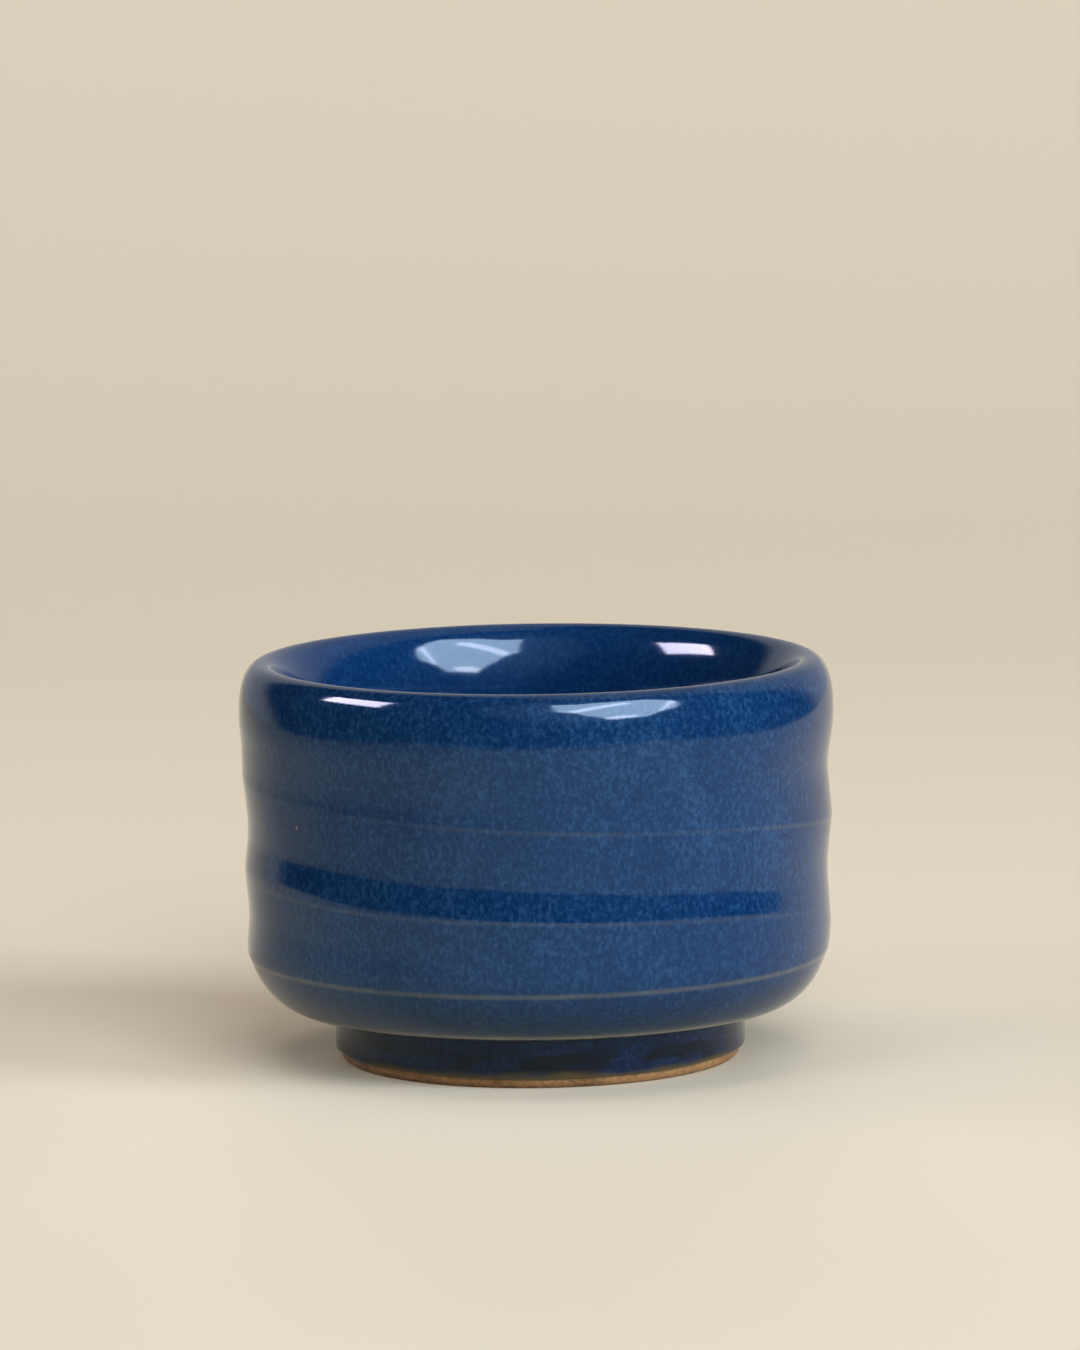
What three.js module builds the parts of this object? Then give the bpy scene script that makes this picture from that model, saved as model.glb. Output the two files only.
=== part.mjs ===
// A hand-thrown stoneware cup without a handle: a round bowl with a heavy rolled lip on a foot ring.
// The clay bowl and the clay ring are luted together and carry four coats of glaze: inside, outside,
// round the foot and under the bowl. The bottom edge of the foot is left bare, as it stood in the kiln.
// Millimetres, +Z up. The origin is on the surface the cup stands on, under the middle of the foot.
import * as THREE from "three";

// Lip
const HEIGHT = 44.6; // crest of the lip above the table
const LIP_RADIUS = 33; // widest point of the lip, over the glaze
const LIP_OUTER_ROLL = 2.6; // from the crest out to the widest point
const LIP_OUTER_DROP = 5.8; // from the crest down to the widest point
const LIP_INNER_DROP = 9.5; // from the crest down to where the inner wall starts
const LIP_OVERHANG = 0.6; // how far the lip stands out past the wall

// Bowl
const WALL_THICKNESS = 5.9; // over both glazes
const NECK_LENGTH = 5.4; // the wall draws in from the lip to its own radius over this height
const UNDERSIDE_HEIGHT = 8; // the rounded turn from the wall to the underside, from top to bottom
const UNDERSIDE_LEDGE = 3.2; // flat part of the underside, from that turn to the foot
const FLOOR_THICKNESS = 4; // middle of the bowl, from the underside to the inside, over both glazes
const INNER_ROUND = 12; // radius of the turn from the inner wall to the floor

// Foot ring
const FOOT_RADIUS = 22.8; // outside of the foot, over the glaze
const FOOT_HEIGHT = 6; // from the table to the underside of the bowl, over the glaze
const FOOT_WIDTH = 4; // of the clay ring, from its outside to its well
const FOOT_BEVEL = 1; // sponged edges of the ring's base

// Glaze
const GLAZE = 0.5; // thickness of each coat
const BARE_BAND = 1.1; // unglazed clay above the table

// Throwing ridge: one spiral swelling of the wall, left by the fingers
const RIDGE_SWELL = 0.3; // from hollow to crest
const RIDGE_PITCH = 10.6; // between turns
const RIDGE_LIFT = 15; // crest above the underside at the cup's left side
const RIDGE_FADE = 4; // height over which the spiral dies away below the lip and above the underside

// Facets: the same count all round, so that coats and clay share their faces
const SIDES = 48;
const WALL_ROWS = 9;
const NECK_ROWS = 3;
const INNER_ROWS = 6;
const CURVE_ROWS = 5;

// Levels and radii that several pieces share
const CREST_RADIUS = LIP_RADIUS - LIP_OUTER_ROLL;
const WALL_RADIUS = LIP_RADIUS - LIP_OVERHANG;
const INNER_RADIUS = WALL_RADIUS - WALL_THICKNESS;
const LIP_INNER_ROLL = CREST_RADIUS - INNER_RADIUS;
const LIP_LEVEL = HEIGHT - LIP_OUTER_DROP;
const NECK_LEVEL = LIP_LEVEL - NECK_LENGTH;
const INNER_LIP_LEVEL = HEIGHT - LIP_INNER_DROP;
const TURN_LEVEL = FOOT_HEIGHT + UNDERSIDE_HEIGHT;
const TURN_RADIUS = FOOT_RADIUS + UNDERSIDE_LEDGE;
const UNDERSIDE_WIDTH = WALL_RADIUS - TURN_RADIUS;
const FLOOR_LEVEL = FOOT_HEIGHT + FLOOR_THICKNESS;
const CLAY_UNDERSIDE = FOOT_HEIGHT + GLAZE;
const CLAY_FOOT_RADIUS = FOOT_RADIUS - GLAZE;
const WELL_RADIUS = CLAY_FOOT_RADIUS - FOOT_WIDTH;

const point = (radius, level) => new THREE.Vector2(radius, level);

// Part of an ellipse, as profile points from one angle to the other.
function arc(centreRadius, centreLevel, width, height, from, to) {
  const clockwise = to < from;
  const curve = new THREE.EllipseCurve(centreRadius, centreLevel, width, height, from, to, clockwise);
  return curve.getPoints(CURVE_ROWS);
}

// Outside of the bowl from the crest down to the foot, a given depth below the glazed face.
function outerFace(depth) {
  const lip = arc(CREST_RADIUS, LIP_LEVEL, LIP_OUTER_ROLL - depth, LIP_OUTER_DROP - depth, Math.PI / 2, 0);
  const neckMiddle = (LIP_LEVEL + NECK_LEVEL) / 2;
  const neck = new THREE.CubicBezierCurve(
    point(LIP_RADIUS - depth, LIP_LEVEL),
    point(LIP_RADIUS - depth, neckMiddle),
    point(WALL_RADIUS - depth, neckMiddle),
    point(WALL_RADIUS - depth, NECK_LEVEL),
  ).getPoints(NECK_ROWS);
  const wall = new THREE.LineCurve(
    point(WALL_RADIUS - depth, NECK_LEVEL),
    point(WALL_RADIUS - depth, TURN_LEVEL),
  ).getPoints(WALL_ROWS);
  const turn = arc(
    TURN_RADIUS,
    TURN_LEVEL,
    UNDERSIDE_WIDTH - depth,
    UNDERSIDE_HEIGHT - depth,
    0,
    -Math.PI / 2,
  );
  const foot = point(CLAY_FOOT_RADIUS, FOOT_HEIGHT + depth);
  return [...lip, ...neck.slice(1), ...wall.slice(1), ...turn.slice(1), foot];
}

// Inside of the bowl from the crest down to the middle of the floor, a given depth below the glazed face.
function innerFace(depth) {
  const lip = arc(
    CREST_RADIUS,
    INNER_LIP_LEVEL,
    LIP_INNER_ROLL - depth,
    LIP_INNER_DROP - depth,
    Math.PI / 2,
    Math.PI,
  );
  const wall = new THREE.LineCurve(
    point(INNER_RADIUS + depth, INNER_LIP_LEVEL),
    point(INNER_RADIUS + depth, FLOOR_LEVEL + INNER_ROUND),
  ).getPoints(INNER_ROWS);
  const turn = arc(
    INNER_RADIUS - INNER_ROUND,
    FLOOR_LEVEL + INNER_ROUND,
    INNER_ROUND + depth,
    INNER_ROUND + depth,
    0,
    -Math.PI / 2,
  );
  return [...lip, ...wall.slice(1), ...turn.slice(1), point(0, FLOOR_LEVEL - depth)];
}

// How far the spiral ridge swells the wall at a level and an angle round the axis.
function ridge(level, angle) {
  const fadeIn = THREE.MathUtils.smoothstep(level, TURN_LEVEL - RIDGE_FADE, TURN_LEVEL);
  const fadeOut = 1 - THREE.MathUtils.smoothstep(level, NECK_LEVEL, NECK_LEVEL + RIDGE_FADE);
  const fromLeft = angle - Math.PI;
  const turns = (level - FOOT_HEIGHT - RIDGE_LIFT) / RIDGE_PITCH + fromLeft / (2 * Math.PI);
  return (RIDGE_SWELL / 2) * Math.cos(2 * Math.PI * turns) * fadeIn * fadeOut;
}

// Triangles of a body of revolution. Each facet is split from its lower corner on one side to its upper
// corner on the next, whichever way the profile runs, so that a coat and the clay under it share facets.
function facets(profile) {
  const rows = profile.length;
  const index = [];
  for (let side = 0; side < SIDES; side += 1) {
    for (let row = 0; row < rows - 1; row += 1) {
      const here = side * rows + row;
      const next = here + rows;
      if (profile[row].y < profile[row + 1].y) {
        index.push(here, next, next + 1, here, next + 1, here + 1);
      } else {
        index.push(here, next, here + 1, next + 1, here + 1, next);
      }
    }
  }
  return index;
}

// A body of revolution about +Z from profile points that run anticlockwise round the section,
// closed on itself or on the axis, with the throwing ridge pressed into its wall.
function turned(profile) {
  const geometry = new THREE.LatheGeometry(profile, SIDES).rotateX(Math.PI / 2);
  const position = geometry.getAttribute("position");
  const vertex = new THREE.Vector3();
  for (let i = 0; i < position.count; i += 1) {
    vertex.fromBufferAttribute(position, i);
    const radius = Math.hypot(vertex.x, vertex.y);
    if (radius > 0) {
      const swollen = 1 + ridge(vertex.z, Math.atan2(vertex.y, vertex.x)) / radius;
      position.setXY(i, vertex.x * swollen, vertex.y * swollen);
    }
  }
  geometry.setIndex(facets(profile));
  geometry.computeVertexNormals();
  return geometry;
}

const closed = (profile) => [...profile, profile[0].clone()];

const STONEWARE = { color: 0xc59a70, roughness: 0.85, metalness: 0 };
const BLUE_GLAZE = { color: 0x1f4a86, roughness: 0.12, metalness: 0 };

function subPart(name, profile, finish) {
  const mesh = new THREE.Mesh(turned(profile), new THREE.MeshStandardMaterial(finish));
  mesh.name = name;
  return mesh;
}

// Thrown clay bowl: out along the underside, up the outside, over the lip and down to the floor.
function stonewareBowl() {
  const outside = outerFace(GLAZE).reverse();
  const inside = innerFace(GLAZE).slice(1);
  return subPart("stoneware_bowl", [point(0, CLAY_UNDERSIDE), ...outside, ...inside], STONEWARE);
}

// Clay ring luted under the bowl, with sponged edges where it meets the table.
function footRing() {
  const profile = [
    point(WELL_RADIUS, CLAY_UNDERSIDE),
    point(WELL_RADIUS, FOOT_BEVEL),
    point(WELL_RADIUS + FOOT_BEVEL, 0),
    point(CLAY_FOOT_RADIUS - FOOT_BEVEL, 0),
    point(CLAY_FOOT_RADIUS, FOOT_BEVEL),
    point(CLAY_FOOT_RADIUS, BARE_BAND),
    point(CLAY_FOOT_RADIUS, FOOT_HEIGHT),
    point(CLAY_FOOT_RADIUS, CLAY_UNDERSIDE),
  ];
  return subPart("foot_ring", closed(profile), STONEWARE);
}

// Coat over the inside of the bowl, from the crest of the lip to the middle of the floor.
function innerGlaze() {
  const profile = [...innerFace(GLAZE).reverse(), ...innerFace(0)];
  return subPart("inner_glaze", profile, BLUE_GLAZE);
}

// Coat over the outside of the bowl, from the crest of the lip to the foot.
function outerGlaze() {
  const profile = [...outerFace(0).reverse(), ...outerFace(GLAZE)];
  return subPart("outer_glaze", closed(profile), BLUE_GLAZE);
}

// Coat round the outside of the foot, down to the bare band.
function footGlaze() {
  const profile = [
    point(CLAY_FOOT_RADIUS, BARE_BAND),
    point(FOOT_RADIUS, BARE_BAND),
    point(FOOT_RADIUS, FOOT_HEIGHT),
    point(CLAY_FOOT_RADIUS, FOOT_HEIGHT),
  ];
  return subPart("foot_glaze", closed(profile), BLUE_GLAZE);
}

// Coat under the bowl, inside the foot, and down the ring's inner face to the bare band.
function wellGlaze() {
  const profile = [
    point(0, FOOT_HEIGHT),
    point(WELL_RADIUS - GLAZE, FOOT_HEIGHT),
    point(WELL_RADIUS - GLAZE, BARE_BAND),
    point(WELL_RADIUS, BARE_BAND),
    point(WELL_RADIUS, CLAY_UNDERSIDE),
    point(0, CLAY_UNDERSIDE),
  ];
  return subPart("well_glaze", profile, BLUE_GLAZE);
}

const cup = new THREE.Group();
cup.add(stonewareBowl(), footRing(), innerGlaze(), outerGlaze(), footGlaze(), wellGlaze());

export default cup;
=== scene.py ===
import math

import bmesh
import bpy
import numpy as np
from mathutils import Matrix, Vector


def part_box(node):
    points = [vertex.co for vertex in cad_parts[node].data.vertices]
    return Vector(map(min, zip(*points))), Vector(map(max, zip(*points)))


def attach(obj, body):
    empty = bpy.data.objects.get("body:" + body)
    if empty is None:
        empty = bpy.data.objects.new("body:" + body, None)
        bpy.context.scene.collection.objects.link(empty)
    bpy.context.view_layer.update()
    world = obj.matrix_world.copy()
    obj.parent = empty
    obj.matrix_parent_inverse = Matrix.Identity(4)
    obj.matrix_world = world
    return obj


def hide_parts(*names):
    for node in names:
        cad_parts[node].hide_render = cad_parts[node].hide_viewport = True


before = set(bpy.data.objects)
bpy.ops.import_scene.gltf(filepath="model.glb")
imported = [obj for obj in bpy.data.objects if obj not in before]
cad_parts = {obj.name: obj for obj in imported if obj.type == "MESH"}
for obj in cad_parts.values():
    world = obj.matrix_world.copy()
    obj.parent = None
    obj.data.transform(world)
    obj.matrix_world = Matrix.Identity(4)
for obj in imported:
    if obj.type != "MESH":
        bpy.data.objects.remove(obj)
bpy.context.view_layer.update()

MM = 0.001

# Sizes of the cup, in millimetres, from the frame's own solids
OUTER_LOW, OUTER_HIGH = (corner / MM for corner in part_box("outer_glaze"))
INNER_LOW, _ = (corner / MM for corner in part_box("inner_glaze"))
BOWL_LOW, _ = (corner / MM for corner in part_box("stoneware_bowl"))
_, FOOT_HIGH = (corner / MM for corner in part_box("foot_ring"))
BAND_LOW, BAND_HIGH = (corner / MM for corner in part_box("foot_glaze"))
_, WELL_HIGH = (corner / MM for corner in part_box("well_glaze"))
HEIGHT = OUTER_HIGH.z
LIP_RADIUS = OUTER_HIGH.x
UNDERSIDE = OUTER_LOW.z
GLAZE = BOWL_LOW.z - OUTER_LOW.z
CLAY_FLOOR = INNER_LOW.z
FOOT_RADIUS = BAND_HIGH.x
CLAY_FOOT_RADIUS = FOOT_HIGH.x
CLAY_UNDERSIDE = FOOT_HIGH.z
BARE_BAND = BAND_LOW.z
WELL_RADIUS = WELL_HIGH.x

# Outside of the bowl
LIP_ROLL = 2.7  # from the crest out to the widest point
LIP_DROP = 5.9  # from the crest down to the widest point
LIP_FULLNESS = 0.82  # 1 is an ellipse, less is squarer
WALL_RADIUS = 32.2
NECK_LENGTH = 7.2  # the wall draws in from the lip over this height
NECK_FADE = 4.5  # the spiral dies away over this height, up to the lip's widest point
TURN_WIDTH = 6.1  # the rounded turn from the wall to the underside
TURN_HEIGHT = 8.0
TURN_FULLNESS = 1.02  # as the lip's
TRIM_LEVEL = 11.8  # a fine step left by the trimming tool
TRIM_STEP = 0.10  # how far the wall stands out over it
TRIM_SOFTNESS = 0.22  # height of its own slope
TRIM_REACH = 0.88  # height over which it dies away above

# Inside of the bowl
WALL_THICKNESS = 5.8
INNER_DROP = 9.5  # the inner roll of the lip, from the crest down
INNER_ROUND = 12.0  # radius of the turn from the inner wall to the floor
INNER_SWELL = 0.12  # throwing rings
INNER_PITCH = 8.5  # height between them
INNER_FADE_TOP = 4.0  # they die away over this height below the lip
INNER_FADE_LOW = 6.0  # and over this one, from half-way up the turn to the floor

# Lower edge of the glaze round the foot
RAGGED = 0.2  # strength of its waves
RAGGED_HEIGHT = 1.4  # height over which they die away
WAVES = (3, 7, 11, 17, 29)  # counts of waves round the foot, from broad to fine

# Rows and sides of the turned pieces
SIDES = 240
FINE_ROW = 0.25  # height of a row on a face that shows
BACKING_ROW = 1.5  # and on the back of a coat
ROLL_ROWS = 2.0  # rows of the lip for each row height of its drop
TURN_ROWS = 1.4  # rows of a rounded turn for each row height that it is high
FLOOR_ROWS = 12  # points from the floor's turn to its middle
EDGE_ROWS = 8  # points round a lower edge of the foot
FOOT_ROWS = 14  # points up the side of the foot
MERGE_GAP = 0.001  # points closer than this are one
SHARP = math.radians(50)  # faces that meet at more than this keep a sharp edge

# The throwing spiral, from the upper left round the front, the right and the back, down to the
# trimming line: turns past the left side, height of the crest, swelling of the wall, height of the slope
# above the crest, height of the line over the crest where the glaze runs thin, and how far it shows
SPIRAL = np.array((
    (-1.25, 34.0, 0.00, 4.5, 0.0, 0.00),
    (-1.00, 32.2, 0.52, 4.5, 0.0, 0.00),
    (-0.88, 31.0, 0.16, 4.5, 0.0, 0.03),
    (-0.75, 29.7, 0.05, 4.5, 0.0, 0.07),
    (-0.62, 28.4, 0.08, 5.0, 0.0, 0.05),
    (-0.50, 26.9, 0.55, 6.0, -0.6, 0.25),
    (-0.25, 24.2, 0.40, 4.0, -0.4, 0.20),
    (0.00, 21.8, 0.40, 3.2, -0.7, 0.10),
    (0.10, 21.6, 0.33, 3.0, -1.0, 0.08),
    (0.14, 20.9, 0.32, 3.2, -0.6, 0.07),
    (0.25, 19.9, 0.32, 3.0, -0.1, 0.06),
    (0.37, 18.9, 0.28, 2.7, -0.1, 0.05),
    (0.50, 14.9, 0.32, 5.0, 1.6, 0.03),
    (0.75, 13.6, 0.30, 3.5, 0.0, 0.10),
    (1.00, 12.6, 0.30, 3.5, 0.0, 0.00),
    (1.25, 11.8, 0.00, 3.5, 0.0, 0.00),
))
CREST_BELOW = 4.4  # height of the slope below the crest
CREST_ROUND = 0.25  # rounding of the crest
CREST_FADE = 0.16  # softness of the ends of its slopes, as a share of them
WHOLE_TURNS = (-2, -1, 0, 1)  # added to a place's share of a turn, to find each pass of the spiral


def quarter(centre, width, height, fullness, count):
    """Profile points of a quarter superellipse from its top to its side, without the first."""
    turn = np.linspace(0, math.pi / 2, count)[1:]
    radii = centre[0] + width * np.sin(turn) ** fullness
    levels = centre[1] + height * np.cos(turn) ** fullness
    return list(zip(radii, levels))


def smooth(share):
    """A soft step from 0 to 1."""
    share = np.clip(share, 0, 1)
    return share * share * (3 - 2 * share)


def outer_face(depth, row):
    """Outside of the bowl from the crest down to the foot, a depth below the glazed face."""
    crest = LIP_RADIUS - LIP_ROLL
    lip_level = HEIGHT - LIP_DROP
    turn_level = UNDERSIDE + TURN_HEIGHT
    turn_radius = WALL_RADIUS - TURN_WIDTH
    lip_rows = round(ROLL_ROWS * LIP_DROP / row)
    wall_rows = round((lip_level - turn_level) / row)
    turn_rows = round(TURN_ROWS * TURN_HEIGHT / row)
    points = [(crest, HEIGHT - depth)]
    points += quarter((crest, lip_level), LIP_ROLL - depth, LIP_DROP - depth, LIP_FULLNESS, lip_rows)
    for level in np.linspace(lip_level, turn_level, wall_rows)[1:]:
        draw_in = smooth((lip_level - level) / NECK_LENGTH)
        points.append((LIP_RADIUS + (WALL_RADIUS - LIP_RADIUS) * draw_in - depth, level))
    centre = (turn_radius, turn_level)
    lower = quarter(centre, TURN_WIDTH - depth, depth - TURN_HEIGHT, TURN_FULLNESS, turn_rows)
    points += [(turn_radius, UNDERSIDE + depth), *lower][::-1][1:]
    points.append((CLAY_FOOT_RADIUS, UNDERSIDE + depth))
    return points


def inner_face(depth, row):
    """Inside of the bowl from the crest down to the middle of the floor, a depth below the glazed face."""
    crest = LIP_RADIUS - LIP_ROLL
    lip_level = HEIGHT - INNER_DROP
    wall = WALL_RADIUS - WALL_THICKNESS
    floor = CLAY_FLOOR + GLAZE
    turn_level = floor + INNER_ROUND
    lip_rows = round(ROLL_ROWS * INNER_DROP / row)
    wall_rows = round((lip_level - turn_level) / row)
    turn_rows = round(TURN_ROWS * INNER_ROUND / row)
    points = [(crest, HEIGHT - depth)]
    points += quarter((crest, lip_level), wall + depth - crest, INNER_DROP - depth, 1, lip_rows)
    points += [(wall + depth, level) for level in np.linspace(lip_level, turn_level, wall_rows)[1:]]
    centre = (wall - INNER_ROUND, turn_level)
    lower = quarter(centre, INNER_ROUND + depth, -INNER_ROUND - depth, 1, turn_rows)
    points += [(centre[0], floor - depth), *lower][::-1][1:]
    points += [(radius, floor - depth) for radius in np.linspace(centre[0], 0, FLOOR_ROWS)[1:]]
    return points


def spiral_at(turns):
    """The spiral's values after so many turns, on a smooth curve through its points."""
    knots, values = SPIRAL[:, 0], SPIRAL[:, 1:]
    slopes = np.gradient(values, knots, axis=0)
    left = np.clip(np.searchsorted(knots, turns) - 1, 0, len(knots) - 2)
    span = (knots[left + 1] - knots[left])[:, None]
    share = (turns - knots[left])[:, None] / span
    rest = 1 - share
    return (
        values[left] * (1 + 2 * share) * rest**2
        + values[left + 1] * (1 + 2 * rest) * share**2
        + span * slopes[left] * share * rest**2
        - span * slopes[left + 1] * rest * share**2
    )


def spiral_swell(levels, angles):
    """Swelling of the wall, distance to the nearest thin line of the glaze and how far it shows."""
    from_left = np.mod(angles - math.pi, math.tau) / math.tau
    swell = np.zeros_like(levels)
    gap = np.full_like(levels, HEIGHT)
    show = np.zeros_like(levels)
    for whole in WHOLE_TURNS:
        turns = from_left + whole
        inside = (turns >= SPIRAL[0, 0]) & (turns <= SPIRAL[-1, 0])
        values = spiral_at(np.clip(turns, SPIRAL[0, 0], SPIRAL[-1, 0]))
        crest, height, slope, lift, seen = values.T
        above = levels - crest
        reach = np.where(above > 0, slope, CREST_BELOW)
        away = (np.hypot(above, CREST_ROUND) - CREST_ROUND) / reach
        share = (1 - away + np.hypot(1 - away, CREST_FADE)) / 2
        swell = np.maximum(swell, np.where(inside, height * share, 0))
        apart = np.abs(above - lift)
        nearer = inside & (apart < gap)
        show = np.where(nearer, seen, show)
        gap = np.where(nearer, apart, gap)
    return swell, gap, show


def turned(profile, closed):
    """A body of revolution about the cup's axis, from profile points in millimetres."""
    mesh = bmesh.new()
    ring = [mesh.verts.new((radius * MM, 0, level * MM)) for radius, level in profile]
    edges = [mesh.edges.new(pair) for pair in zip(ring, ring[1:])]
    if closed:
        edges.append(mesh.edges.new((ring[-1], ring[0])))
    bmesh.ops.spin(
        mesh, geom=ring + edges, cent=(0, 0, 0), axis=(0, 0, 1), angle=math.tau, steps=SIDES, use_merge=True
    )
    bmesh.ops.remove_doubles(mesh, verts=mesh.verts, dist=MERGE_GAP * MM)
    bmesh.ops.recalc_face_normals(mesh, faces=mesh.faces)
    return mesh


def cylindrical(mesh):
    """Radius, angle and level of every vertex, in millimetres and radians."""
    spots = np.array([vertex.co for vertex in mesh.verts]) / MM
    return np.hypot(spots[:, 0], spots[:, 1]), np.arctan2(spots[:, 1], spots[:, 0]), spots[:, 2]


def move_to(mesh, radius, angle, level):
    """Puts every vertex at its new radius, angle and level."""
    for vertex, r, a, z in zip(mesh.verts, radius, angle, level):
        vertex.co = Vector((r * math.cos(a), r * math.sin(a), z)) * MM


def press_outside(mesh):
    """Presses the spiral and the trimming step into the outside, and keeps where the glaze runs thin."""
    radius, angle, level = cylindrical(mesh)
    swell, gap, show = spiral_swell(level, angle)
    lip_level = HEIGHT - LIP_DROP
    fade = smooth((lip_level - level) / NECK_FADE)
    above_trim = smooth((level - TRIM_LEVEL) / TRIM_SOFTNESS + 0.5)
    near_trim = np.exp(-(((level - TRIM_LEVEL) / TRIM_REACH) ** 2))
    step = TRIM_STEP * above_trim * near_trim
    wall = smooth((radius - CLAY_FOOT_RADIUS) / TURN_WIDTH)
    move_to(mesh, radius + (swell * fade + step) * wall, angle, level)
    gap_layer = mesh.verts.layers.float.new("thin_gap")
    show_layer = mesh.verts.layers.float.new("thin_show")
    for vertex, near, seen in zip(mesh.verts, gap, show):
        vertex[gap_layer] = near
        vertex[show_layer] = seen


def press_inside(mesh):
    """Throwing rings on the inside, which die away at the lip and on the floor."""
    radius, angle, level = cylindrical(mesh)
    below_lip = smooth((HEIGHT - INNER_DROP - level) / INNER_FADE_TOP)
    above_floor = smooth((level - CLAY_FLOOR - INNER_ROUND / 2) / INNER_FADE_LOW)
    rings = np.cos(math.tau * level / INNER_PITCH + angle)
    move_to(mesh, radius + INNER_SWELL / 2 * rings * below_lip * above_floor, angle, level)


def new_object(name, mesh, material):
    """An object of the scene from a finished bmesh."""
    data = bpy.data.meshes.new(name)
    mesh.to_mesh(data)
    mesh.free()
    data.materials.append(material)
    made = bpy.data.objects.new(name, data)
    bpy.context.scene.collection.objects.link(made)
    return made


def finish_piece(name, mesh, material, node):
    """A piece of the cup, smooth apart from its sharp seams, in place of its CAD node."""
    piece = new_object(name, mesh, material)
    piece.data.shade_smooth()
    piece.data.set_sharp_from_angle(angle=SHARP)
    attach(piece, "root")
    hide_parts(node)


# Materials


def colour(text):
    """Linear colour from an sRGB hex value."""
    values = [int(text[i : i + 2], 16) / 255 for i in (1, 3, 5)]
    linear = [v / 12.92 if v <= 0.04045 else ((v + 0.055) / 1.055) ** 2.4 for v in values]
    return (*linear, 1)


def add(tree, kind, inputs=(), out=0, **settings):
    """Adds a node with its settings, sets or links its inputs, and gives one of its outputs."""
    node = tree.nodes.new("ShaderNode" + kind)
    for name, value in settings.items():
        setattr(node, name, value)
    for place, value in dict(inputs).items():
        if isinstance(value, bpy.types.NodeSocket):
            tree.links.new(value, node.inputs[place])
        else:
            node.inputs[place].default_value = value
    return node.outputs[out] if node.outputs else node


def new_material(name):
    """A material with an empty node tree."""
    material = bpy.data.materials.new(name)
    material.use_nodes = True
    material.node_tree.nodes.clear()
    return material, material.node_tree


# Patterns, in millimetres
GRAIN = 0.48  # mottling of the glaze
CLOUD = 7.0  # thicker and thinner patches of it
PEEL = 0.9  # ripple of its skin
PIT_SPACING = 11.0  # between pinholes
PIT = 0.30  # radius of a pinhole
PEEL_DEPTH = 0.012  # height of the ripple
THIN_LINE = 0.40  # half the width of a line where the glaze runs thin
THIN_TRIM = 0.48  # and of the one on the trimming step
THIN_AND_SHEEN_EDGE = 0.6  # height of the pale edge above the underside, thin glaze and painted reflection
PAINTED_SHADE_ABOVE = 2.2  # painted shade, darker downwards from here above the trimming step
PAINTED_SHADE_BELOW = 1.0  # to here above the underside
SMEAR_AND_SHADE_TOP = 5.2  # dark smears on the foot, partly painted shade, start under this level
SMEAR_AND_SHADE_FULL = 3.4  # and are full below this one
HEM_TOP = 0.25  # the foot's glaze turns brown from here above the bare band
HEM_FULL = -0.9  # to here
HEM_WAVE = 1.6  # both raised by the blotches, by up to this much
SAND = 0.5  # grit of the clay
TOAST = 7.0  # patches of it that fired darker
GRIT_DEPTH = 0.06  # height of the grit

# Shares and strengths of them
RUN = 0.7  # grains are drawn out upright, as their scale along Z
FLAT = 6  # the foot's blotches lie flat, as their scale along Z
CLOUD_SHARE = 0.25  # of the clouds in the mottling
TRIM_SHOW = 0.18  # of the pale line on the trimming step
EDGE_THIN_AND_SHEEN_SHOW = 0.28  # of the one above the underside, partly a painted reflection
UNEVEN = 1.2  # how far the clouds make the pale lines come and go
UNEVEN_LEAST = 0.3  # what is left of them between clouds
PAINTED_SHADE_SHOW = 0.65  # of the painted shade above the underside
HEM_SHOW = 0.8  # of the brown hem
BODY_SHINE = 0.5  # mirrored light of the glaze on the bowl, where 0.5 leaves it as it is
FOOT_SHINE = 0.32  # and of the wiped glaze on the foot
GLOSS_TINT = (0.65, 0.92, 1, 1)  # the cobalt in the glaze takes red out of what it mirrors


def mottled_blue(tree, spot, deep, middle, pale):
    """The glaze's own colour, grains of deeper and paler blue in soft clouds, and the clouds."""
    runny = add(tree, "Mapping", {"Vector": spot, "Scale": (1, 1, RUN)})
    fine = {"Vector": runny, "Scale": 1 / (GRAIN * MM), "Detail": 3.0, "Roughness": 0.7}
    grain = add(tree, "TexNoise", fine)
    cloud = add(tree, "TexNoise", {"Vector": runny, "Scale": 1 / (CLOUD * MM), "Detail": 2.0})
    centred = add(tree, "Math", {0: cloud, 1: 0.5}, operation="SUBTRACT")
    tone = add(tree, "Math", {0: centred, 1: CLOUD_SHARE, 2: grain}, operation="MULTIPLY_ADD")
    lower = add(tree, "MapRange", {"Value": tone, "From Min": 0.34, "From Max": 0.50})
    upper = add(tree, "MapRange", {"Value": tone, "From Min": 0.50, "From Max": 0.66})
    blue = add(tree, "Mix", {0: lower, 6: colour(deep), 7: colour(middle)}, out=2, data_type="RGBA")
    blue = add(tree, "Mix", {0: upper, 6: blue, 7: colour(pale)}, out=2, data_type="RGBA")
    return blue, cloud


def glaze_skin(tree, spot, blue, shine):
    """The fired gloss of the glaze, slightly rippled, with a few pinholes that show the clay."""
    cells = {"Vector": spot, "Scale": 1 / (PIT_SPACING * MM)}
    centre = add(tree, "TexVoronoi", cells)
    pit = add(
        tree,
        "MapRange",
        {"Value": centre, "From Min": PIT / PIT_SPACING, "From Max": PIT / PIT_SPACING / 2},
        interpolation_type="SMOOTHSTEP",
    )
    blue = add(tree, "Mix", {0: pit, 6: blue, 7: colour("#A07661")}, out=2, data_type="RGBA")
    ripple = add(tree, "TexNoise", {"Vector": spot, "Scale": 1 / (PEEL * MM), "Detail": 1.0})
    skin = add(tree, "Bump", {"Height": ripple, "Strength": 0.3, "Distance": PEEL_DEPTH * MM})
    gloss = {"Roughness": 0.09, "IOR": 1.45, "Specular IOR Level": shine, "Specular Tint": GLOSS_TINT}
    shader = add(tree, "BsdfPrincipled", {"Base Color": blue, "Normal": skin, **gloss})
    add(tree, "OutputMaterial", {"Surface": shader})


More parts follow.
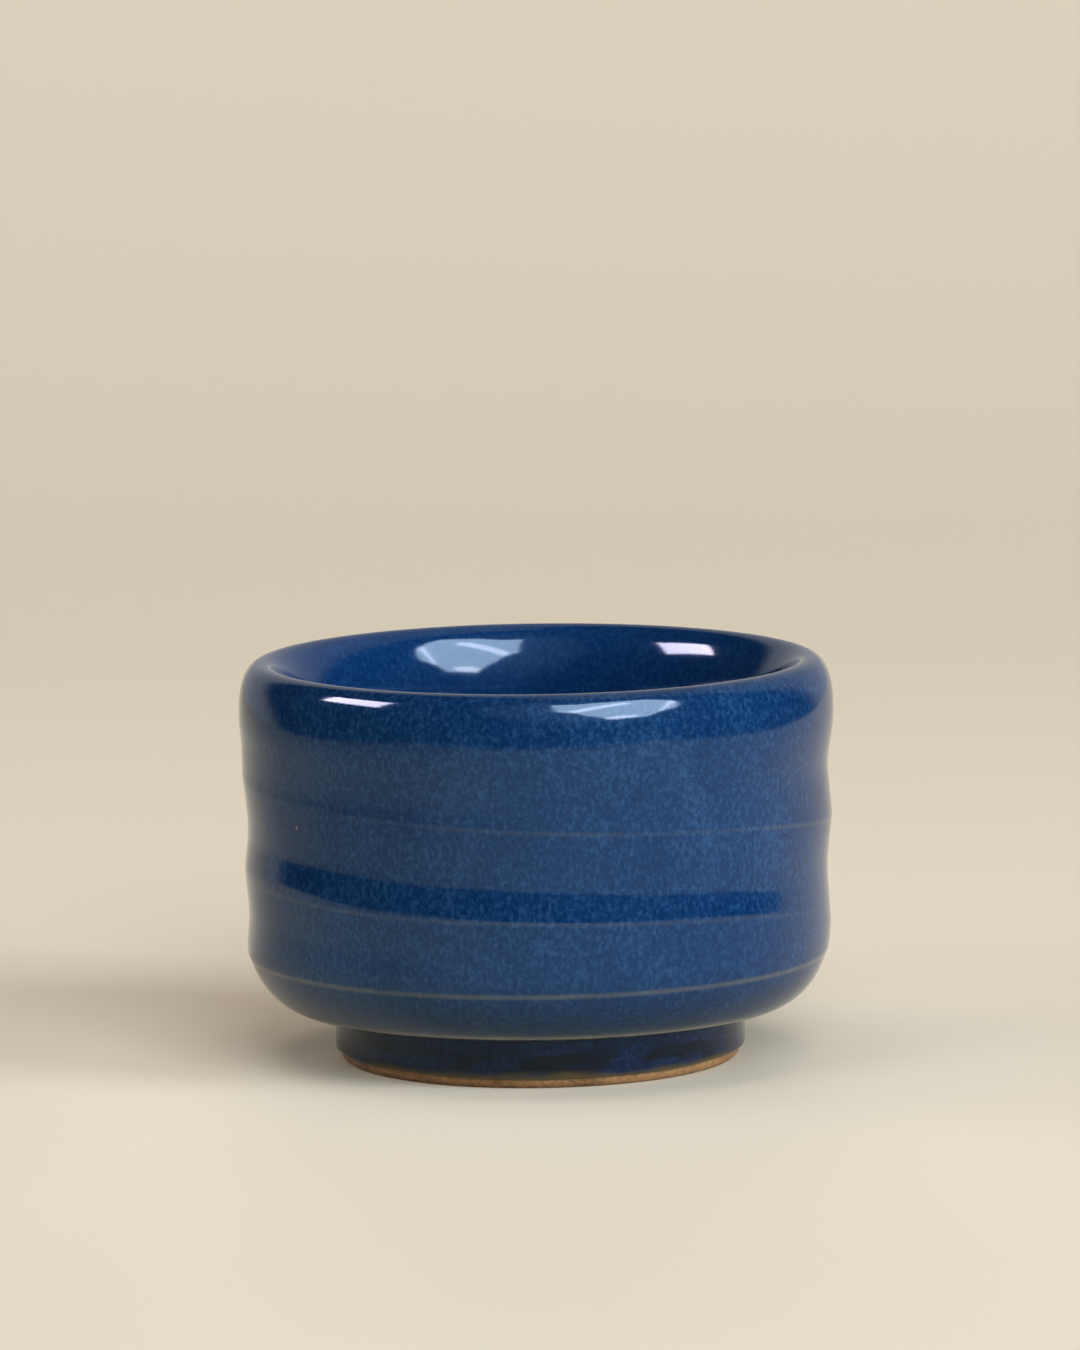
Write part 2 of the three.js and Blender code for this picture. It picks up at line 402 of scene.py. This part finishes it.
def outer_blue():
    # Cobalt-blue stoneware glaze, dipped and fired to a glossy glass: fine mottled grains, a rippled shiny
    # skin, and pale lines where it ran thin over the ridges, the trimming step and the bottom edge. The
    # pale line at the bottom edge is partly a painted reflection, and a painted shade darkens the lower
    # turn.
    material, tree = new_material("cobalt_glaze_outside")
    spot = add(tree, "TexCoord", out="Object")
    blue, cloud = mottled_blue(tree, spot, "#062348", "#0A2B52", "#1D3D63")
    level = add(tree, "SeparateXYZ", {0: spot}, out="Z")
    gap = add(tree, "Attribute", out="Fac", attribute_name="thin_gap")
    show = add(tree, "Attribute", out="Fac", attribute_name="thin_show")
    near_ridge = {"Value": gap, "From Min": THIN_LINE, "From Max": 0.0}
    ridge = add(tree, "MapRange", near_ridge, interpolation_type="SMOOTHSTEP")
    ridge = add(tree, "Math", {0: ridge, 1: show}, operation="MULTIPLY")
    off_trim = add(tree, "Math", {0: level, 1: TRIM_LEVEL * MM}, operation="SUBTRACT")
    off_trim = add(tree, "Math", {0: off_trim}, operation="ABSOLUTE")
    near_trim = {"Value": off_trim, "From Min": THIN_TRIM * MM, "From Max": 0.0, "To Max": TRIM_SHOW}
    trim = add(tree, "MapRange", near_trim, interpolation_type="SMOOTHSTEP")
    # Pale line above the underside: partly thin glaze, partly a painted reflection of the table at the
    # grazing edge.
    off_edge = add(tree, "Math", {0: level, 1: (UNDERSIDE + THIN_AND_SHEEN_EDGE) * MM}, operation="SUBTRACT")
    off_edge = add(tree, "Math", {0: off_edge}, operation="ABSOLUTE")
    near_edge = {"Value": off_edge, "From Min": THIN_AND_SHEEN_EDGE * MM, "From Max": 0.0, "To Max": EDGE_THIN_AND_SHEEN_SHOW}
    edge = add(tree, "MapRange", near_edge, interpolation_type="SMOOTHSTEP")
    thin = add(tree, "Math", {0: ridge, 1: trim}, operation="MAXIMUM")
    thin = add(tree, "Math", {0: thin, 1: edge}, operation="MAXIMUM")
    uneven = add(tree, "Math", {0: cloud, 1: UNEVEN, 2: UNEVEN_LEAST}, operation="MULTIPLY_ADD")
    thin = add(tree, "Math", {0: thin, 1: uneven}, operation="MULTIPLY")
    # Painted shade: the outside darkens towards near black from above the trimming step down to the
    # underside.
    below = {"Value": level, "From Min": (TRIM_LEVEL + PAINTED_SHADE_ABOVE) * MM, "To Max": PAINTED_SHADE_SHOW}
    below["From Max"] = (UNDERSIDE + PAINTED_SHADE_BELOW) * MM
    below = add(tree, "MapRange", below)
    blue = add(tree, "Mix", {0: below, 6: blue, 7: colour("#06080F")}, out=2, data_type="RGBA")
    pale = colour("#908B63")
    blue = add(tree, "Mix", {0: thin, 6: blue, 7: pale}, out=2, data_type="RGBA")
    glaze_skin(tree, spot, blue, BODY_SHINE)
    return material


def inner_blue():
    # The same cobalt-blue glaze poured inside, thick and even, without thin lines.
    material, tree = new_material("cobalt_glaze_inside")
    spot = add(tree, "TexCoord", out="Object")
    blue, _ = mottled_blue(tree, spot, "#05254E", "#082B55", "#13355F")
    glaze_skin(tree, spot, blue, BODY_SHINE)
    return material


def foot_blue():
    # The same glaze on the foot, wiped thin with a sponge: deep blue and nearly black in blotches low down,
    # both partly a painted shade under the bowl, and olive brown where its lower edge thins out to the
    # clay.
    material, tree = new_material("cobalt_glaze_foot")
    spot = add(tree, "TexCoord", out="Object")
    blue, _ = mottled_blue(tree, spot, "#0A1126", "#0E1832", "#152340")
    level = add(tree, "SeparateXYZ", {0: spot}, out="Z")
    flat = add(tree, "Mapping", {"Vector": spot, "Scale": (1, 1, FLAT)})
    blotch = add(tree, "TexNoise", {"Vector": flat, "Scale": 1 / (CLOUD * MM), "Detail": 3.0})
    # Partly painted shade: near-black blotches fill in from here down towards the foot's lower edge.
    low = {"Value": level, "From Min": SMEAR_AND_SHADE_TOP * MM, "From Max": SMEAR_AND_SHADE_FULL * MM}
    low = add(tree, "MapRange", low, interpolation_type="SMOOTHSTEP")
    dark = {"Value": blotch, "From Min": 0.40, "From Max": 0.58}
    dark = add(tree, "MapRange", dark, interpolation_type="SMOOTHSTEP")
    dark = add(tree, "Math", {0: dark, 1: low}, operation="MULTIPLY")
    blue = add(tree, "Mix", {0: dark, 6: blue, 7: colour("#0A0D17")}, out=2, data_type="RGBA")
    ragged = add(tree, "Math", {0: blotch, 1: -HEM_WAVE * MM, 2: level}, operation="MULTIPLY_ADD")
    hem = {"Value": ragged, "From Min": (BARE_BAND + HEM_TOP) * MM, "To Max": HEM_SHOW}
    hem["From Max"] = (BARE_BAND + HEM_FULL) * MM
    hem = add(tree, "MapRange", hem, interpolation_type="SMOOTHSTEP")
    blue = add(tree, "Mix", {0: hem, 6: blue, 7: colour("#54492A")}, out=2, data_type="RGBA")
    glaze_skin(tree, spot, blue, FOOT_SHINE)
    return material


def bare_clay():
    # Buff stoneware, fired bare and sponged: matt, sandy, toasted darker in patches.
    material, tree = new_material("buff_stoneware")
    spot = add(tree, "TexCoord", out="Object")
    sand = add(tree, "TexNoise", {"Vector": spot, "Scale": 1 / (SAND * MM), "Detail": 3.0})
    toast = add(tree, "TexNoise", {"Vector": spot, "Scale": 1 / (TOAST * MM), "Detail": 2.0})
    tone = add(tree, "Math", {0: sand, 1: toast}, operation="ADD")
    tone = add(tree, "MapRange", {"Value": tone, "From Min": 0.65, "From Max": 1.35})
    buff = {0: tone, 6: colour("#51371F"), 7: colour("#947148")}
    buff = add(tree, "Mix", buff, out=2, data_type="RGBA")
    grit = add(tree, "Bump", {"Height": sand, "Strength": 0.5, "Distance": GRIT_DEPTH * MM})
    shader = add(tree, "BsdfPrincipled", {"Base Color": buff, "Roughness": 0.85, "Normal": grit})
    add(tree, "OutputMaterial", {"Surface": shader})
    return material


# Pieces of the cup

OUTER_BLUE = outer_blue()
INNER_BLUE = inner_blue()
FOOT_BLUE = foot_blue()
CLAY = bare_clay()


def outer_glaze():
    """The coat over the outside, fine where it shows."""
    profile = outer_face(0, FINE_ROW) + outer_face(GLAZE, BACKING_ROW)[::-1]
    mesh = turned(profile, True)
    press_outside(mesh)
    finish_piece("glaze_outside", mesh, OUTER_BLUE, "outer_glaze")


def inner_glaze():
    """The coat over the inside, fine where it shows."""
    profile = inner_face(0, FINE_ROW)[::-1] + inner_face(GLAZE, BACKING_ROW)
    mesh = turned(profile, False)
    press_inside(mesh)
    finish_piece("glaze_inside", mesh, INNER_BLUE, "inner_glaze")


def clay_bowl():
    """The clay between the two coats."""
    inside = inner_face(GLAZE, BACKING_ROW)
    profile = [(0, CLAY_UNDERSIDE)] + outer_face(GLAZE, BACKING_ROW)[::-1] + inside[1:]
    mesh = turned(profile, False)
    press_outside(mesh)
    finish_piece("clay_bowl", mesh, CLAY, "stoneware_bowl")


def foot_ring():
    """The clay ring, with its lower edges sponged round up to the glaze."""
    edge = BARE_BAND
    outer = quarter((CLAY_FOOT_RADIUS - edge, edge), edge, -edge, 1, EDGE_ROWS)
    inner = quarter((WELL_RADIUS + edge, edge), -edge, -edge, 1, EDGE_ROWS)
    profile = [(WELL_RADIUS, CLAY_UNDERSIDE)] + inner[::-1] + [(WELL_RADIUS + edge, 0)]
    profile += [(CLAY_FOOT_RADIUS - edge, 0)] + outer + [(CLAY_FOOT_RADIUS, CLAY_UNDERSIDE)]
    finish_piece("clay_foot", turned(profile, True), CLAY, "foot_ring")


def foot_glaze():
    """The coat round the foot, with a rounded and uneven lower edge."""
    lower = quarter((CLAY_FOOT_RADIUS, BARE_BAND + GLAZE), GLAZE, -GLAZE, 1, EDGE_ROWS)
    levels = np.linspace(BARE_BAND + GLAZE, UNDERSIDE, FOOT_ROWS)[1:]
    profile = [(CLAY_FOOT_RADIUS, BARE_BAND)] + lower + [(FOOT_RADIUS, level) for level in levels]
    profile += [(CLAY_FOOT_RADIUS, UNDERSIDE)]
    mesh = turned(profile, True)
    radius, angle, level = cylindrical(mesh)
    waves = sum(np.sin(count * angle + count * count) / count for count in WAVES)
    low = smooth((BARE_BAND + RAGGED_HEIGHT - level) / RAGGED_HEIGHT)
    move_to(mesh, radius, angle, level + RAGGED * waves * low)
    finish_piece("glaze_foot", mesh, FOOT_BLUE, "foot_glaze")


def well_glaze():
    """The coat under the bowl, inside the foot ring."""
    profile = [(0, UNDERSIDE), (WELL_RADIUS - GLAZE, UNDERSIDE), (WELL_RADIUS - GLAZE, BARE_BAND)]
    profile += [(WELL_RADIUS, BARE_BAND), (WELL_RADIUS, CLAY_UNDERSIDE), (0, CLAY_UNDERSIDE)]
    finish_piece("glaze_well", turned(profile, False), FOOT_BLUE, "well_glaze")


outer_glaze()
inner_glaze()
clay_bowl()
foot_ring()
foot_glaze()
well_glaze()


# Stage

# Sizes in metres, turns in radians
TABLE_REACH = 0.33  # of the paper that the glaze mirrors, to the sides and the front
FLOOR_REACH = 3.0  # of the paper round it
SWEEP_START = 0.5  # behind the cup, where the paper starts to rise
SWEEP_RADIUS = 3.0
SWEEP_TURN = math.radians(15)
SWEEP_ROWS = 25
PAINTED_SHADE_SLANT = 0.12  # the painted shade on the paper's left side leans by this much for each metre back
PAINTED_SHADE_FULL = -0.25  # it is full here
PAINTED_SHADE_END = -0.05  # and ends here
FAR_START = -0.08  # the painted shade of the paper's far end starts here
FAR_FULL = 0.35  # and is full here
GLINTS_AWAY = 2.97
STREAKS_AWAY = 2.3
LIGHTS_AWAY = 12.0
CEILING_AWAY = 5.0
ROOM_RADIUS = 4.5
ROOM_SLANT = 0.9  # radians that the borders of the dark lean by, from the table to the top
GLOW_REACH = 0.82  # cosine of the glow's reach round its middle
GLOW_PLACE = (10, 42)  # degrees right of the camera and up
PAPER_COLOUR = "#EEE8D6"
# Colour of the paper's far end, darker as a painted shade where less light reaches it
FAR_PAINTED_SHADE_PAPER = "#DCD4C1"
# Colour of the painted shade on the paper's left side
PAINTED_SHADE_PAPER = "#B7AF9C"


def cream_paper():
    # Cream background paper, uncoated and matt, with painted shade: greyer towards its left side and far
    # end.
    material, tree = new_material("cream_paper")
    spot = add(tree, "TexCoord", out="Object")
    split = add(tree, "SeparateXYZ", {0: spot}).node.outputs
    # Painted shade: the paper greys towards its left side.
    across = add(tree, "Math", {0: split["Y"], 1: PAINTED_SHADE_SLANT, 2: split["X"]}, operation="MULTIPLY_ADD")
    shade = add(tree, "MapRange", {"Value": across, "From Min": PAINTED_SHADE_FULL, "From Max": PAINTED_SHADE_END})
    # Painted shade: the paper greys towards its far end, where less light reaches it.
    far = add(tree, "MapRange", {"Value": split["Y"], "From Min": FAR_START, "From Max": FAR_FULL})
    cream = {0: far, 6: colour(PAPER_COLOUR), 7: colour(FAR_PAINTED_SHADE_PAPER)}
    cream = add(tree, "Mix", cream, out=2, data_type="RGBA")
    cream = add(tree, "Mix", {0: shade, 6: colour(PAINTED_SHADE_PAPER), 7: cream}, out=2, data_type="RGBA")
    shader = add(tree, "BsdfPrincipled", {"Base Color": cream, "Roughness": 0.9, "Specular IOR Level": 0.0})
    add(tree, "OutputMaterial", {"Surface": shader})
    return material


PAPER = cream_paper()


def paper_sheet(name, left, right, outline):
    """Paper along an outline of places behind and above the cup, from its left edge to its right."""
    mesh = bmesh.new()
    line = [mesh.verts.new((left, y, z)) for y, z in outline]
    edges = [mesh.edges.new(pair) for pair in zip(line, line[1:])]
    made = bmesh.ops.extrude_edge_only(mesh, edges=edges)["geom"]
    far = [item for item in made if isinstance(item, bmesh.types.BMVert)]
    bmesh.ops.translate(mesh, verts=far, vec=(right - left, 0, 0))
    bmesh.ops.recalc_face_normals(mesh, faces=mesh.faces)
    sheet = new_object(name, mesh, PAPER)
    sheet.data.shade_smooth()
    return sheet


def floor_and_backdrop():
    """The table with the paper swept up behind it, and paper round it that the glaze does not mirror."""
    swept = [(SWEEP_START, 0)]
    for turn in np.linspace(0, SWEEP_TURN, SWEEP_ROWS)[1:]:
        swept.append((SWEEP_START + SWEEP_RADIUS * math.sin(turn), SWEEP_RADIUS * (1 - math.cos(turn))))
    paper_sheet("paper_table", -TABLE_REACH, TABLE_REACH, [(-TABLE_REACH, 0), *swept])
    for name, left, right, outline in (
        ("paper_left", -FLOOR_REACH, -TABLE_REACH, [(-FLOOR_REACH, 0), *swept]),
        ("paper_right", TABLE_REACH, FLOOR_REACH, [(-FLOOR_REACH, 0), *swept]),
        ("paper_front", -TABLE_REACH, TABLE_REACH, [(-FLOOR_REACH, 0), (-TABLE_REACH, 0)]),
    ):
        paper_sheet(name, left, right, outline).visible_glossy = False


def toward(azimuth, elevation, distance):
    """A place seen from the cup: azimuth to the right of the camera's side, elevation above the table."""
    a, e = math.radians(azimuth), math.radians(elevation)
    return Vector((math.sin(a) * math.cos(e), -math.cos(a) * math.cos(e), math.sin(e))) * distance


def glint(name, outline, away, shade, strength):
    """A bright pane that only the gloss shows, its corners given as azimuth and elevation from the cup."""
    # Window glass, flat and clear, with the bright sky behind it.
    material, tree = new_material(name)
    light = add(tree, "Emission", {"Color": colour(shade), "Strength": strength})
    add(tree, "OutputMaterial", {"Surface": light})
    mesh = bmesh.new()
    mesh.faces.new([mesh.verts.new(toward(azimuth, elevation, away)) for azimuth, elevation in outline])
    made = new_object(name, mesh, material)
    made.visible_camera = False
    made.visible_diffuse = False
    made.visible_shadow = False


def soft_box(name, azimuth, elevation, distance, size, shade, watts):
    """A large soft light that the gloss does not mirror."""
    data = bpy.data.lights.new(name, "AREA")
    data.size = size
    data.color = colour(shade)[:3]
    data.energy = watts
    box = bpy.data.objects.new(name, data)
    bpy.context.scene.collection.objects.link(box)
    box.location = toward(azimuth, elevation, distance)
    box.rotation_euler = box.location.to_track_quat("Z", "Y").to_euler()
    box.visible_glossy = False


def dark_room(left, right, softness):
    """The unlit room round the front of the table, with a glow beside the window and the pale wall behind
    the cup, which only reflections show."""
    # Painted plaster, rolled on matt: dark where no window lights it and pale behind the cup.
    material, tree = new_material("dim_room")
    spot = add(tree, "TexCoord", out="Object")
    split = add(tree, "SeparateXYZ", {0: spot}).node.outputs
    front = add(tree, "Math", {0: split["Y"], 1: -1.0}, operation="MULTIPLY")
    azimuth = add(tree, "Math", {0: split["X"], 1: front}, operation="ARCTAN2")
    leaning = {0: split["Z"], 1: ROOM_SLANT / ROOM_RADIUS, 2: azimuth}
    azimuth = add(tree, "Math", leaning, operation="MULTIPLY_ADD")
    sides = []
    for place, way in ((left, -1), (right, 1)):
        start, end = math.radians(place - way * softness), math.radians(place + way * softness)
        border = {"Value": azimuth, "From Min": start, "From Max": end}
        sides.append(add(tree, "MapRange", border, interpolation_type="SMOOTHSTEP"))
    behind = add(tree, "Math", {0: sides[0], 1: sides[1]}, operation="MAXIMUM")
    glow = {0: spot, 1: toward(*GLOW_PLACE, 1)}
    glow = add(tree, "VectorMath", glow, out="Value", operation="DOT_PRODUCT")
    glow = {"Value": glow, "From Min": GLOW_REACH * ROOM_RADIUS, "From Max": ROOM_RADIUS}
    glow = add(tree, "MapRange", glow, interpolation_type="SMOOTHSTEP")
    shade = {0: glow, 6: colour("#241F1B"), 7: colour("#ACB8CC")}
    shade = add(tree, "Mix", shade, out=2, data_type="RGBA")
    shade = add(tree, "Mix", {0: behind, 6: shade, 7: colour("#B8B7B8")}, out=2, data_type="RGBA")
    add(tree, "OutputMaterial", {"Surface": add(tree, "Emission", {"Color": shade})})
    mesh = bmesh.new()
    bmesh.ops.create_uvsphere(mesh, u_segments=48, v_segments=24, radius=ROOM_RADIUS)
    room = new_object("dark_room", mesh, material)
    room.visible_camera = False
    room.visible_diffuse = False
    room.visible_shadow = False
    room.visible_transmission = False


# Corners of the windows as azimuth and elevation, in degrees, as the lip mirrors them
KEY_WINDOW = (
    (8.5, 36),
    (8, 58),
    (22, 57),
    (38, 60),
    (66, 58),
    (68, 44),
    (64, 34),
    (60, 28),
    (54, 25.5),
    (50, 23),
    (45, 18.5),
    (36, 18),
    (29, 17.5),
    (24, 23),
    (19, 27),
    (17, 31),
)
KEY_STREAKS = (
    ((13, 36), (16.5, 32), (48, 49), (46, 54)),
    ((27, 21), (29, 18), (40, 19), (41, 22), (34, 23)),
    ((50, 24), (53, 26), (66, 41), (66, 46)),
)
SIDE_WINDOW = ((-70, 31), (-72, 46), (-103, 39), (-99, 27))

floor_and_backdrop()
glint("key_glint", KEY_WINDOW, GLINTS_AWAY, "#E4E4F8", 13.0)
for number, streak in enumerate(KEY_STREAKS):
    glint("key_streak_%d" % number, streak, STREAKS_AWAY, "#FFEEFF", 24.0)
glint("side_glint", SIDE_WINDOW, GLINTS_AWAY, "#FFDCF4", 30.0)
soft_box("key_light", 18, 29, LIGHTS_AWAY, 8.4, "#F8FBFF", 1010)
soft_box("right_light", 65, 11.5, LIGHTS_AWAY, 4.6, "#F4F9FF", 1680)
soft_box("left_light", -102, 18, LIGHTS_AWAY, 5.6, "#FFF6EE", 270)
soft_box("fill_light", -52, 32, LIGHTS_AWAY, 5.6, "#FFF8F2", 180)
soft_box("back_light", 180, 11, LIGHTS_AWAY, 4.4, "#FFF6EE", 520)
soft_box("ceiling_light", 0, 88, CEILING_AWAY, 4.0, "#FFEEDC", 70)
dark_room(left=-124, right=134, softness=8)


def room_light():
    """Dim warm light from all round, while the camera and the gloss see a pale wall."""
    world = bpy.data.worlds.new("room")
    bpy.context.scene.world = world
    world.use_nodes = True
    tree = world.node_tree
    tree.nodes.clear()
    rays = add(tree, "LightPath").node.outputs
    seen = add(tree, "Math", {0: rays["Is Camera Ray"], 1: rays["Is Glossy Ray"]}, operation="MAXIMUM")
    seen = add(tree, "Math", {0: seen, 1: rays["Is Transmission Ray"]}, operation="MAXIMUM")
    pale = add(tree, "Background", {"Color": colour("#D8CEB9"), "Strength": 1.0})
    dim = add(tree, "Background", {"Color": colour("#3E3B37"), "Strength": 1.0})
    light = add(tree, "MixShader", {0: seen, 1: dim, 2: pale})
    add(tree, "OutputWorld", {"Surface": light})


room_light()


# Camera, at the photograph's place, in metres and degrees

CAMERA_BACK = 1.0
CAMERA_HEIGHT = 0.1754
CAMERA_LENS = 242.4
LOOK_DOWN = 7.56
LOOK_RIGHT = 0.028
LEAN = -0.77


def camera():
    """The camera at the photograph's place, turned, tipped and leaned as it was."""
    data = bpy.data.cameras.new("photo_camera")
    data.lens = CAMERA_LENS
    view = bpy.data.objects.new("photo_camera", data)
    bpy.context.scene.collection.objects.link(view)
    view.location = (0, -CAMERA_BACK, CAMERA_HEIGHT)
    turn = Matrix.Rotation(math.radians(-LOOK_RIGHT), 4, "Z")
    tip = Matrix.Rotation(math.radians(90 - LOOK_DOWN), 4, "X")
    lean = Matrix.Rotation(math.radians(LEAN), 4, "Z")
    view.rotation_euler = (turn @ tip @ lean).to_euler()
    bpy.context.scene.camera = view


camera()
bpy.context.scene.view_settings.view_transform = "Standard"
